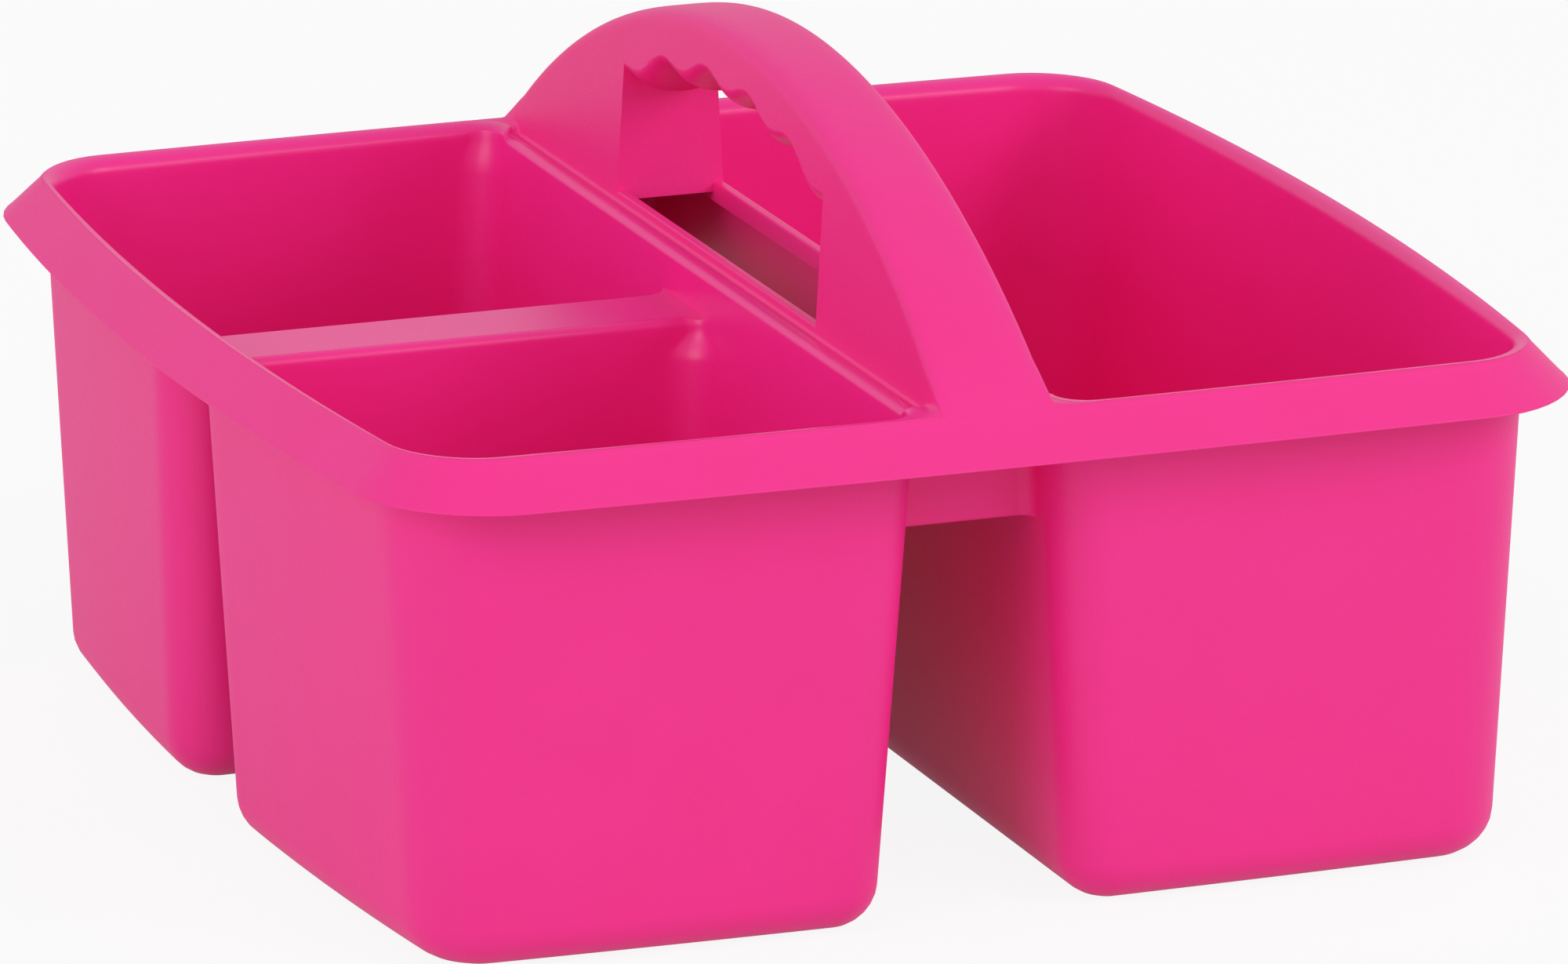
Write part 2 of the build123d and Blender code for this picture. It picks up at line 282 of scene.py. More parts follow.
# %% Both ends closed
def close_ends(loops, ends, hub):
    """Corners in metres, quads and triangles of a stack of loops with both its ends closed."""
    rows, points, _ = loops.shape
    last = (rows - 1) * points
    corners = loops.reshape(-1, 3) / to_mm
    quads = grid_faces(rows, points, ends == "ring")
    triangles = np.zeros((0, 3), int)
    if ends == "fan":
        middle = len(corners)
        hubs = np.stack([loops[0][hub].mean(0), loops[-1][hub].mean(0)]) / to_mm
        corners = np.concatenate([corners, hubs])
        first_fan = fan_faces(0, points, middle, True)
        triangles = np.concatenate([first_fan, fan_faces(last, points, middle + 1, False)])
    if ends == "fold":
        closing = [fold_faces(0, points, True), fold_faces(last, points, False)]
        quads = np.concatenate([quads] + closing)
    return corners, quads, triangles


square = np.array([[0, 0, 0], [1, 0, 0], [1, 1, 0], [0, 1, 0]])
box_faces = close_ends(np.stack([square, square + [0, 0, 1]]), "fan", slice(None))
print("closed by fans, it has", len(box_faces[1]) + len(box_faces[2]), "faces")

# %% [markdown]
# A moulding is smooth wherever it curves and has an edge only where the mould had one. Adding the
# faces one at a time is slow, so Blender gets the arrays whole. All faces are shaded smooth, and
# edges sharper than an angle are marked, which keeps the few real edges crisp.

# %% Mesh piece from a stack of loops
crease_angle = np.radians(38)


def fill_mesh(mesh, corners, quads, triangles):
    """Hands the arrays to Blender: all corners, then the corner numbers of face after face."""
    loop_corners = np.append(quads.ravel(), triangles.ravel())
    sizes = np.append(np.full(len(quads), 4), np.full(len(triangles), 3))
    starts = np.append(0, np.cumsum(sizes)[:-1])
    mesh.vertices.add(len(corners))
    mesh.vertices.foreach_set("co", corners.ravel())
    mesh.loops.add(len(loop_corners))
    mesh.loops.foreach_set("vertex_index", loop_corners.astype(np.int32))
    mesh.polygons.add(len(sizes))
    mesh.polygons.foreach_set("loop_start", starts.astype(np.int32))
    mesh.polygons.foreach_set("use_smooth", np.ones(len(sizes), bool))


def build_mesh(name, loops, ends, finishes, inner_rows=None, hub=slice(None)):
    """Mesh piece from loops of shape (rows, points, 3) in millimetres.

    The first inner_rows rows take the second finish. A fan's middle is the mean of the hub
    points of its loop. Faces are turned round if the signed volume is below 0."""
    corners, quads, triangles = close_ends(loops, ends, hub)
    volume = signed_volume(corners, quads, triangles)
    if volume < 0:
        quads, triangles = quads[:, ::-1], triangles[:, ::-1]
    mesh = bpy.data.meshes.new(name)
    fill_mesh(mesh, corners, quads, triangles)
    for finish in finishes:
        mesh.materials.append(finish)
    if inner_rows is not None:
        points = loops.shape[1]
        inside = np.arange(len(mesh.polygons)) // points < inner_rows
        inside[len(quads) : len(quads) + points] = True
        mesh.polygons.foreach_set("material_index", inside.astype(np.int32))
    mesh.update(calc_edges=True)
    mesh.set_sharp_from_angle(angle=crease_angle)
    mesh.validate()
    piece = bpy.data.objects.new(name, mesh)
    bpy.context.scene.collection.objects.link(piece)
    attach(piece, "root")
    print(name, len(mesh.polygons), "faces,", round(abs(volume) * 1e6, 2), "cm3")
    return piece


# %% [markdown]
# The plastic is one pink with two finishes. Outside, the mould was blasted, so the skin has a
# fine even grain and a soft sheen. Inside, the core was polished smoother, so the walls give soft
# reflections, and the inside's pink is painted a little lighter, as painted light for the light
# that fills the tubs. A flat colour would look like paper, so each finish has a grain and a slow
# swell in its surface, both from noise on the object's own coordinates, which needs no unwrapping.

# %% Plastic finish
grain_scale = 1500
swell_scale = 60
roughness_spread = 0.05
plastic_ior = 1.46


def new_node(tree, kind, values):
    """A shader node of one kind with some of its sockets set."""
    node = tree.nodes.new("ShaderNode" + kind)
    for socket, value in values.items():
        node.inputs[socket].default_value = value
    return node


def pink_plastic(name, roughness, grain_height, swell_height, deep, light):
    """Pink plastic: a fine grain and a slow swell in the skin, both from noise on the object."""
    material = bpy.data.materials.new(name)
    material.use_nodes = True
    tree = material.node_tree
    link = tree.links.new
    shader = tree.nodes["Principled BSDF"]
    shader.inputs["IOR"].default_value = plastic_ior
    place = tree.nodes.new("ShaderNodeTexCoord")
    grain = new_node(tree, "TexNoise", {"Scale": grain_scale, "Detail": 3})
    swell = new_node(tree, "TexNoise", {"Scale": swell_scale, "Detail": 2})
    for noise in (grain, swell):
        link(place.outputs["Object"], noise.inputs["Vector"])
    tint = tree.nodes.new("ShaderNodeMix")
    tint.data_type = "RGBA"
    tint.inputs["A"].default_value = (*deep, 1)
    tint.inputs["B"].default_value = (*light, 1)
    link(swell.outputs["Fac"], tint.inputs["Factor"])
    link(tint.outputs["Result"], shader.inputs["Base Color"])
    low, high = roughness - roughness_spread, roughness + roughness_spread
    rough = new_node(tree, "MapRange", {"To Min": low, "To Max": high})
    link(grain.outputs["Fac"], rough.inputs["Value"])
    link(rough.outputs["Result"], shader.inputs["Roughness"])
    fine = new_node(tree, "Bump", {"Strength": 1.0, "Distance": grain_height})
    broad = new_node(tree, "Bump", {"Strength": 1.0, "Distance": swell_height})
    link(swell.outputs["Fac"], broad.inputs["Height"])
    link(grain.outputs["Fac"], fine.inputs["Height"])
    link(broad.outputs["Normal"], fine.inputs["Normal"])
    link(fine.outputs["Normal"], shader.inputs["Normal"])
    return material


print("every finish has an IOR of", plastic_ior)

# %% The two finishes
outer_skin = pink_plastic(
    "pink_grained",
    roughness=0.48,
    grain_height=0.00004,
    swell_height=0.00006,
    deep=(0.95, 0.022, 0.275),
    light=(0.98, 0.026, 0.305),
)
# The inside finish is a lighter pink than the outside one: painted light that stands in for the
# light filling the tubs.
inside_skin_painted_lighter = pink_plastic(
    "pink_smooth_painted_lighter",
    roughness=0.34,
    grain_height=0.000003,
    swell_height=0.00005,
    deep=(0.97, 0.020, 0.30),
    light=(0.985, 0.024, 0.33),
)
both_skins = [outer_skin, inside_skin_painted_lighter]
print("finishes:", outer_skin.name, "outside,", inside_skin_painted_lighter.name, "inside the tubs")

# %% [markdown]
# A tub is one closed skin: up the inside from the middle of its floor, over the rounded mouth,
# down the outside and back under its foot. A solid box with a Boolean cut would need its edges
# rounded later; drawing the skin row by row gives the rounded foot and the wall at once.

# %% Walls and foot of a tub
quarter = np.linspace(0, np.pi / 2, 8)
straight_rows = 6


def foot_rows(z_low, radius, inset):
    """Heights and insets of a rounded foot: a quarter circle from the floor up to the wall."""
    return z_low + radius * (1 - np.cos(quarter)), inset + radius * (1 - np.sin(quarter))


def gap_face_x(z):
    """Distance of the gap-side wall from the middle at height z, growing downwards."""
    return gap_top_half + (gap_base_half - gap_top_half) * (1 - np.asarray(z) / tub_top_z)


def tub_inside():
    """Heights and insets from the edge of the floor up the inside to the tubs' top."""
    foot_z, foot_inset = foot_rows(floor_thickness, base_edge_radius - wall, wall)
    z = np.concatenate([foot_z, np.linspace(foot_z[-1], tub_top_z, straight_rows)[1:]])
    return z, np.concatenate([foot_inset, np.full(straight_rows - 1, wall)])


def tub_outside():
    """Heights and insets from the tubs' top down the outside and round the foot."""
    foot_z, foot_inset = foot_rows(0.0, base_edge_radius, 0.0)
    z = np.concatenate([np.linspace(tub_top_z, foot_z[-1], straight_rows), foot_z[::-1][1:]])
    return z, np.concatenate([np.zeros(straight_rows), foot_inset[::-1][1:]])


def wall_loops(z, inset, low_y=None, high_y=None):
    """Loops of a tub's walls at heights z, moved in by inset."""
    near_x, corner = gap_face_x(z) + inset, divider_corner - inset
    x, y = half_loop(tub_level(z, inset), near_x, corner, low_y, high_y)
    return x, y, z[:, None]


inside_z, inside_inset = tub_inside()
outside_z, outside_inset = tub_outside()
print("rows inside", inside_z.size, "and outside", outside_z.size)

# %% [markdown]
# The mouth's edge is rounded for the hand. It stands at the crest's height, but beside the handle
# it drops one step to the ledge. A Bevel modifier would round an even edge, but not one that
# changes height. Here one loop serves both: the height of its top rows changes along the loop,
# with an S-shaped ramp from one level to the other.

# %% Rounded mouth
rim_round = 2.5
ledge_round = 1.3
ledge_reach = 2.2
ledge_edge_x = 14.5
ledge_step_width = 3
round_change_width = 6
mouth_corner = 5.0
mouth_corner_growth = 1.5
under_edge_drops = [0.9, 2.2]


def ledge_height(x, y):
    """Height of the mouth's edge: crest height, one step lower beside the handle."""
    near = 1 - smoothstep((np.abs(x) - ledge_edge_x) / ledge_step_width)
    inside = 1 - smoothstep((np.abs(y) - (ledge_end_y - ledge_ramp)) / ledge_ramp)
    return crest_z - (crest_z - ledge_top_z) * near * inside


print("ledge at", round(float(ledge_height(0, 0)), 1), "below a crest at", round(crest_z, 1))


# %% Loops of a mouth
def mouth_rows():
    """Loops of a mouth from the tubs' top to its rounded edge, and each point's height.

    Over the edge the loop moves out by 1 - cos a and rises by sin a of the rounding."""
    share = np.linspace(0, 1, 7)
    over = np.concatenate([np.zeros(share.size), 1 - np.cos(quarter[1:])])
    straight_z = tub_top_z + share * (crest_z - rim_round - tub_top_z)
    heights = np.append(straight_z, np.full(quarter.size - 1, straight_z[-1]))
    level = tub_level(heights, wall)
    for key in level:
        level[key] = level[key] * (1 - column(over)) + crest[key] * column(over)
    near_x = gap_face_x(heights) + wall - ledge_reach * over
    start_corner = divider_corner - wall
    near_corner = start_corner + (mouth_corner - start_corner) * smoothstep(share)
    near_corner = np.append(near_corner, np.full(quarter.size - 1, mouth_corner))
    x, y = half_loop(level, near_x, near_corner + mouth_corner_growth * over)
    top = ledge_height(x[-1], y[-1])
    change = smoothstep((x[-1] - ledge_edge_x) / round_change_width)
    drop = ledge_round + (rim_round - ledge_round) * change
    rise = column(np.append(share, np.ones(quarter.size - 1)))
    arc = column(np.append(np.zeros(share.size), np.sin(quarter[1:])))
    return x, y, tub_top_z + rise * (top - drop - tub_top_z) + arc * drop


def outer_top_rows():
    """Loops from under the mouth's edge down the outside to the tubs' top."""
    heights = np.append(crest_z - np.array(under_edge_drops), tub_top_z)
    x, y = half_loop(tub_level(heights), np.full(3, gap_top_half), np.full(3, divider_corner))
    below = crest_z - ledge_height(x[0], y[0])
    return x, y, column(heights) - below * column([1, 1, 0])


mouth_x, mouth_y, mouth_z = mouth_rows()
print("mouth's edge from", np.round([mouth_z[-1].min(), mouth_z[-1].max()], 1), "high")

# %% [markdown]
# The right tub takes the whole right side. A thin sheet with a Solidify modifier could give it a
# wall, but its foot and mouth are rounded differently inside and outside. So its skin is the
# inside walls, the mouth and the outside walls in one stack, and a fan closes it above and below
# the floor.

# %% Right tub
right_parts = [
    wall_loops(inside_z[:-1], inside_inset[:-1]),
    (mouth_x, mouth_y, mouth_z),
    outer_top_rows(),
    wall_loops(outside_z[1:], outside_inset[1:]),
]
right_rows = inside_z.size - 1 + len(mouth_x) - 1
right_tub = build_mesh("right_tub", stack(right_parts), "fan", both_skins, right_rows)
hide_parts("right_bin")

# %% [markdown]
# On the left one long mouth stands over two tubs. A Mirror modifier could copy the whole right
# tub, but here each tub below has to end where the slot between them begins. So only the mouth is
# mirrored, by turning the sign of x, and it is a ring of its own.

# %% Left mouth
left_rings = stack([(mouth_x, mouth_y, mouth_z), outer_top_rows()], mirrored=True)
build_mesh("left_mouth_wall", left_rings, "ring", both_skins, len(mouth_x) - 1)

# %% [markdown]
# The two left tubs stand apart by a slot that widens downwards. On the slot's side the inner wall
# has no mouth: it rolls over in a tight round onto the saddle. Cutting one long tub in two would
# leave sharp edges there, so each tub is drawn with its own end, where the wall leans out again
# near the top and the corner closes up.

# %% Loops of a left tub
saddle_round = 1.5
saddle_corner = 3.3
saddle_blend = 8.0
corner_blend_start = 7.0
corner_blend_run = 5.0


def slot_half(z):
    """Half the slot between the two left tubs at height z, growing downwards."""
    return slot_top_half + (slot_base_half - slot_top_half) * (1 - np.asarray(z) / tub_top_z)


def slot_end(reach, front):
    """The end of a left tub at the slot, reach away from the slot's middle."""
    return dict(high_y=slot_middle_y - reach) if front else dict(low_y=slot_middle_y + reach)


def left_tub_loops(front):
    """Inside and outside loops of a left tub; its slot side rounds over onto the saddle."""
    bend = saddle_round * (1 - np.cos(quarter))
    bend_z = tub_top_z - saddle_round * (1 - np.sin(quarter))
    low_rows = inside_z < tub_top_z - saddle_blend
    climb_z = np.linspace(tub_top_z - saddle_blend, bend_z[0], 9)[:-1]
    z = np.concatenate([inside_z[low_rows], climb_z, bend_z])
    inset = np.append(inside_inset[low_rows], np.full(climb_z.size + bend.size, wall))
    over = np.append(np.zeros(z.size - bend.size), bend)
    corner = divider_corner - inset
    closing = smoothstep((z - (tub_top_z - corner_blend_start)) / corner_blend_run)
    tight = corner + (saddle_corner - corner) * closing
    end = slot_end(slot_half(z) + inset - over, front)
    level, near_x = tub_level(z, inset), gap_face_x(z) + inset
    x, y = half_loop(level, near_x, corner, slot_corner=tight + over, **end)
    outer_end = slot_end(slot_half(outside_z) + outside_inset, front)
    return (x, y, z[:, None]), wall_loops(outside_z, outside_inset, **outer_end)


def slot_edge(part, row, front):
    """One loop's line along the slot, from the far side to the near one."""
    x, y, z = part
    low_end = slice(0, corner_start(1) + corner_points)
    high_end = slice(corner_start(2), corner_start(3) + corner_points)
    points = high_end if front else low_end
    heights = np.broadcast_to(z[row], x[row, points].shape)
    line = np.stack([-x[row, points], y[row, points], heights], -1)
    return line if front else line[::-1]


print("slot", round(2 * slot_half(0.0), 1), "wide at the floor and", 2 * slot_top_half, "on top")

# %% Left tubs
saddle_edges = []
for front, name, node in (
    (True, "front_left_tub", "front_left_bin"),
    (False, "rear_left_tub", "rear_left_bin"),
):
    inside, outside = left_tub_loops(front)
    loops = stack([inside, outside], mirrored=True)
    tub = build_mesh(name, loops, "fan", both_skins, len(inside[0]) - 1)
    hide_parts(node)
    saddle_edges.append((slot_edge(inside, -1, front), slot_edge(outside, 0, front)))

# %% [markdown]
# The saddle roofs the slot from tub to tub. A flat box would leave gaps at the curved corners, so
# it is a strip whose two long edges are the very lines where the tubs' rounds end. It lies a hair
# above the walls' ends, because two faces in one plane would flicker.

# %% Saddle between the left tubs
skin_lap = 0.03
(front_inner, front_outer), (rear_inner, rear_outer) = saddle_edges


def saddle_line(inner, outer):
    """Top line of the saddle: the tub's rounded edge, run out to the outer face at both ends."""
    return np.concatenate([outer[:1], inner, outer[-1:]]) + np.array([0, 0, skin_lap])


def saddle_underside(outer):
    """The saddle's lower line: the tub's outer edge, one wall lower."""
    return np.concatenate([outer[:1], outer, outer[-1:]]) - np.array([0, 0, wall])


saddle_lines = [
    saddle_line(front_inner, front_outer),
    saddle_line(rear_inner, rear_outer),
    saddle_underside(rear_outer),
    saddle_underside(front_outer),
]
saddle = build_mesh("bin_saddle", np.stack(saddle_lines, 1), "fold", [inside_skin_painted_lighter])
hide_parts("left_bin_bridge")

# %% [markdown]
# The rim stiffens the mouths and gives the fingers something to lift by. Its section is a soft
# crest, a straight slope, a rounded lower lip and the underside back to the walls. One section
# carried all round is easier to keep even than four strips mitred at the corners, so each point
# of it is a share of the way from the crest's outline to the lower edge's, with its own drop.

# %% Rim
rim_drop = 7.3
crest_dip = 0.02
bend_pull = 0.04
bend_end = 0.13
bend = np.linspace(0, 1, 5)
bend_share = bend_pull * 2 * bend * (1 - bend) + bend_end * bend**2
bend_drop = crest_dip + rim_drop * bend_end * bend**2
slope_share = [0.4, 0.7, 0.9, 0.97, 0.992, 0.9983, 1.0, 0.9973, 0.988, 0.972]
slope_drop = [2.9, 5.08, 6.5, 6.93, 7.07, 7.13, 7.2, 7.285, 7.365, 7.4]
under_share = [0.985, 0.97, 0.6, 0.2, 0.0]
under_drop = [7.36, 7.25, 4.38, 1.46, 1.3]
under_inset_x = [2.2, 2.51, 2.51, 2.51, 1.5]
under_inset_y = [2.6, 2.96, 2.96, 2.96, 2.0]
crest_inset = [0.2, 0.1, 0, 0, 0]


def rim_rows():
    """Loops of the rim: crest outline (1 - share) + edge outline share, less the insets."""
    top_inset = np.append(crest_inset, np.zeros(len(slope_share)))
    level = blend(crest, rim_edge, np.concatenate([bend_share, slope_share, under_share]))
    inset_x = column(np.append(top_inset, under_inset_x))
    level["half_x"] = level["half_x"] - inset_x
    level["half_y"] = level["half_y"] - column(np.append(top_inset, under_inset_y))
    level["corner"] = level["corner"] - inset_x
    x, y = full_loop(level)
    return x, y, crest_z - column(np.concatenate([bend_drop, slope_drop, under_drop]))


rim = build_mesh("sloping_rim", stack([rim_rows()]), "ring", [outer_skin])
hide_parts("rim_front", "rim_rear", "rim_left", "rim_right")

# %% [markdown]
# Beside the handle each mouth ends on a low ledge with a small upright lip. It could be part of
# the tub, but its section stays the same from end to end, so it is drawn once as a profile and
# carried straight along the handle.

# %% Ledges beside the handle
handle_half_width = 10.1
handle_draft = np.radians(3.3)
lip_top_z = ledge_top_z + wall
lip_round = 0.4
deck_fillet = 0.7
tuck = 0.05
sink = 0.02
gap_lap = 0.2


def handle_half(z):
    """Half the handle's width at height z, narrowing upwards by the draft."""
    return handle_half_width - np.tan(handle_draft) * (z - ledge_top_z)


def ledge_bar(name, sign):
    """A ledge: a flat deck, a quarter-circle fillet, and a lip rounded by two quarter circles."""
    angle = np.linspace(0, np.pi / 2, 6)
    y = column(np.linspace(-apron_back_y - tuck, apron_back_y + tuck, 40))
    lip_x, lip_z = handle_half(lip_top_z), lip_top_z - ledge_top_z
    deck_x = gap_top_half + wall - ledge_reach + tuck
    fillet_x = handle_half(ledge_top_z + deck_fillet) + deck_fillet * (1 - np.sin(angle))
    outer_x = handle_half(lip_top_z - lip_round) - lip_round * (1 - np.cos(angle))
    inner_x = lip_x - wall + lip_round * (1 - np.sin(angle))
    top_x = np.concatenate([[deck_x], fillet_x, outer_x, inner_x])
    fillet_z = deck_fillet * (1 - np.cos(angle))
    outer_z = lip_z - lip_round * (1 - np.sin(angle))
    inner_z = lip_z - lip_round * (1 - np.cos(angle))
    top_z = ledge_top_z - sink + np.concatenate([[0.0], fillet_z, outer_z, inner_z])
    x = np.append(top_x, [handle_half_width - wall, gap_top_half + gap_lap])
    z = np.append(top_z, np.full(2, ledge_top_z - wall))
    loops = np.stack(np.broadcast_arrays(sign * x, y, z), -1)
    return build_mesh(name, loops, "fan", [outer_skin], hub=slice(-2, None))


left_ledge = ledge_bar("left_ledge_bar", -1)
right_ledge = ledge_bar("right_ledge_bar", 1)
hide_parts("left_ledge")
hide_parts("right_ledge")

# %% [markdown]
# At each end of the gap a land roofs it over, from the handle's foot out to the rim. The land
# must fit between two round mouth corners, so its outline is read from the mouth's own top edge
# and then carried across the gap.

# %% Section of a land
near_corner_points = slice(corner_start(3), corner_start(3) + corner_points)
arc_x = mouth_x[-1][near_corner_points][::-1]
arc_y = mouth_y[-1][near_corner_points][::-1]
land_thickness = 1.5
land_lap = 0.3
ramp_margin = 0.4


def gap_land(name, sign):
    """The land: the same outline in y and z at each x, with x in equal shares across the gap."""
    ramp_y = np.linspace(ledge_end_y - ledge_ramp, ledge_end_y, 9)
    deck_y = np.append([apron_back_y, ramp_y[0] - ramp_margin], ramp_y)
    top_y = np.append(deck_y, arc_y)
    top_z = ledge_height(np.zeros_like(top_y), top_y) - sink
    low_half = gap_top_half + land_lap
    x = np.concatenate([np.full(deck_y.size, arc_x[0]), arc_x, [arc_x[-1], low_half, low_half]])
    y = sign * np.append(top_y, [arc_y[-1], ledge_end_y, apron_back_y])
    low_z = ledge_top_z - wall
    z = np.append(top_z, [crest_z - land_thickness, low_z, low_z])
    across = column(np.linspace(-1, 1, 9))
    loops = np.stack(np.broadcast_arrays(across * x, y, z), -1)
    return build_mesh(name, loops, "fan", [outer_skin])


print("lands", round(2 * arc_x[0], 1), "to", round(2 * arc_x[-1], 1), "wide")

# %% [markdown]
# An apron hangs under each land and ties the tubs together. On the real moulding it doesn't meet
# the tubs at a sharp corner, which would crack, but sweeps out to them in a fillet. A Bevel
# modifier could round that corner; drawing the fillet in the section keeps its radius exact.

# %% Section of an apron
apron_fillet = 3.0
apron_edge_round = 0.6
apron_rise = 1.0


def gap_apron(name, sign):
    """The apron: a flat face whose sides sweep out to the tub walls in quarter circles.

    Within r of a wall the face moves out by r (1 - cos a) while x moves on by r sin a. The
    lower edge is set back by a smaller quarter circle."""
    curl = np.linspace(0, np.pi / 2, 7)
    angle = np.concatenate([-curl[::-1], [0.0], curl])
    side = np.sign(np.arange(angle.size) - curl.size)
    low = apron_low_z + apron_edge_round
    edge_z = low - apron_edge_round * np.sin(curl[1:])
    flat_z = np.linspace(tub_top_z, low, 5)
    heights = np.concatenate([[ledge_top_z - apron_rise], flat_z, edge_z])
    set_back = np.append(np.zeros(6), apron_edge_round * (1 - np.cos(curl[1:])))
    half = column(gap_face_x(np.minimum(heights, tub_top_z))) + gap_lap
    x = side * (half - apron_fillet) + apron_fillet * np.sin(angle)
    face_y = apron_face_y - column(set_back) + apron_fillet * (1 - np.cos(angle))
    back_y = np.full(x.shape, apron_back_y) + column(set_back[::-1])
    z = np.broadcast_to(column(heights), x.shape)
    xs = np.concatenate([x, x[::-1]])
    ys = sign * np.concatenate([face_y, back_y])
    zs = np.concatenate([z, z[::-1]])
    loops = np.swapaxes(np.stack([xs, ys, zs], -1), 0, 1)
    return build_mesh(name, loops, "fan", [outer_skin])


print("aprons hang down to", round(apron_low_z, 1))

# %% Lands and aprons
gap_land("front_land", -1)
front_apron = gap_apron("front_apron", -1)
gap_land("rear_land", 1)
rear_apron = gap_apron("rear_apron", 1)
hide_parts("front_gap_panel")
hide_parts("rear_gap_panel")

# %% [markdown]
# The handle is an arch from rim to rim. Its top line is a flat crown arc that runs on into a
# tighter flank arc on each side. A Bezier curve could be pulled to the same look by eye, but the
# flank is the one arc that leaves the crown without a kink and comes down on the rim's crest. As
# a function of y, the line can be shared by the legs and the crown.

# %% The arch's lines
crown_radius = 165.0
crown_center_z = overall_height - crown_radius
shoulder = np.radians(32.0)
shoulder_y = crown_radius * np.sin(shoulder)
shoulder_z = crown_center_z + crown_radius * np.cos(shoulder)
foot_run = crest["half_y"] - shoulder_y
foot_drop = shoulder_z - crest_z
flank_lean = foot_drop * np.cos(shoulder) - foot_run * np.sin(shoulder)
flank_radius = (foot_run**2 + foot_drop**2) / (2 * flank_lean)
flank_y = shoulder_y - flank_radius * np.sin(shoulder)
flank_z = shoulder_z - flank_radius * np.cos(shoulder)


def arch_top(y):
    """Height of the arch: centre + sqrt(radius^2 - y^2) on the crown arc, then on the flank."""
    y = np.abs(y)
    crown = crown_center_z + np.sqrt(np.maximum(crown_radius**2 - y**2, 0))
    flank = flank_z + np.sqrt(np.maximum(flank_radius**2 - (y - flank_y) ** 2, 0))
    return np.where(y < shoulder_y, crown, flank)


print("shoulders at", round(shoulder_y, 1), "flank radius", round(flank_radius, 1))

# %% [markdown]
# The real section is an upside-down U, soft on top so that it doesn't cut into the palm. A
# superellipse, |x/a|^n + |z/b|^n = 1, is rounder than a box and flatter than a circle, and it
# needs no separate fillets.

# %% Section of the handle
soft_power = 2 / 4.0
top_round = 4.2


def over_the_top(top, base_z, rounding):
    """Right half of a section: up the drafted side, then x = a cos^p, z = b sin^p over the top."""
    soft = np.linspace(0, np.pi / 2, 15)
    climb = np.linspace(0, 1, 7)[:-1]
    side_z = base_z + (top - rounding - base_z) * climb
    over_x = handle_half(top - rounding) * np.cos(soft) ** soft_power
    over_z = top - rounding + rounding * np.sin(soft) ** soft_power
    return np.append(handle_half(side_z), over_x, 1), np.append(side_z, over_z, 1)


def both_sides(right_x, right_z):
    """A whole section from its right half and its mirror image."""
    xs = np.append(right_x, -right_x[:, -2::-1], 1)
    return xs, np.append(right_z, right_z[:, -2::-1], 1)


def closed_sections(outer_x, outer_z, inner_x, inner_z, y):
    """Closed loops at each y: the outer line first and then the inner line back."""
    xs = np.append(outer_x, inner_x[:, ::-1], 1)
    zs = np.append(outer_z, inner_z[:, ::-1], 1)
    return np.stack(np.broadcast_arrays(xs, column(y), zs), -1)


print("handle", 2 * handle_half_width, "wide at its foot")

# %% [markdown]
# Each leg is a hollow shell, open below, that stands on the ledges. Towards the rim its foot
# spreads in a fillet that grows wider, so that the handle doesn't tear off when the caddy is
# full. A Bevel modifier keeps one width, so the fillet is part of the section. The leg's top runs
# on over the crest and dips under the rim's slope: ending it at the crest would leave a crease.

# %% What the legs stand on
hole_half = 49.0
flare_run = 6.0
flare_rise = 2.3
flare_spread = 3.2
mouth_clearance = 0.2
crest_lift = 0.2
slope_run = 1.9
slope_lap = 0.25
least_height = 0.04
least_roof = 0.3
least_skin = 0.4
solid_depth = 0.6
end_packing = 1.7


def leg_ground(y):
    """Height of what a leg stands on, and a lap into it: ledge, crest, then the rim's slope."""
    share = np.maximum(np.abs(y) - crest["half_y"], 0) / skirt_run_y
    shares, drops = np.append(bend_share, slope_share[0]), np.append(bend_drop, slope_drop[0])
    drop = np.where(share > 0, np.interp(share, shares, drops), 0)
    lap = np.where(share > 0, slope_lap, skin_lap)
    return ledge_height(np.zeros_like(y), y) - drop - lap


print("foot spreads up to", flare_spread, "over the last", flare_run)


# %% Handle legs
def leg_loops(y):
    """Closed sections of a leg: foot fillet by a quarter circle, side, soft top and hollow."""
    angle = np.linspace(0, np.pi / 2, 7)
    base = column(leg_ground(y))
    lift = crest_lift * smoothstep((np.abs(y) - hole_half) / (crest["half_y"] - hole_half))
    top = np.maximum(column(arch_top(y) + lift), base + least_height)
    flare = column(smoothstep((np.abs(y) - ledge_end_y) / flare_run))
    room = column(np.interp(np.abs(y), arc_y, arc_x)) - handle_half_width - mouth_clearance
    foot_x = np.minimum(deck_fillet + flare_spread * flare, room)
    foot_z = np.minimum(deck_fillet + flare_rise * flare, 0.5 * (top - base))
    curve_x = handle_half(base + foot_z) + foot_x * (1 - np.sin(angle))
    curve_z = base + foot_z * (1 - np.cos(angle))
    rounding = np.minimum(top_round, 0.5 * (top - base))
    rise_x, rise_z = over_the_top(top, base + foot_z, rounding)
    right_x = np.append(curve_x[:, :-1], rise_x, 1)
    outer_x, outer_z = both_sides(right_x, np.append(curve_z[:, :-1], rise_z, 1))
    roof = np.minimum(outer_z - least_skin, np.maximum(top - wall, base + least_roof))
    hollow = column(np.abs(y)) < apron_back_y - wall
    inner_z = np.where(hollow, roof, ledge_top_z - solid_depth)
    inner_half = handle_half(inner_z) - wall
    inner_x = np.clip(outer_x, -inner_half, inner_half)
    return closed_sections(outer_x, outer_z, inner_x, inner_z, y)


leg_end = crest["half_y"] + slope_run
leg_share = 1 - (1 - np.linspace(0, 1, 48)) ** end_packing
leg_y = hole_half + (leg_end - hole_half) * leg_share
leg_y = np.sort(np.append(leg_y, apron_back_y - wall + np.array([-sink, sink])))
front_leg = build_mesh("handle_front_leg", leg_loops(-leg_y[::-1]), "fold", [outer_skin])
rear_leg = build_mesh("handle_rear_leg", leg_loops(leg_y), "fold", [outer_skin])

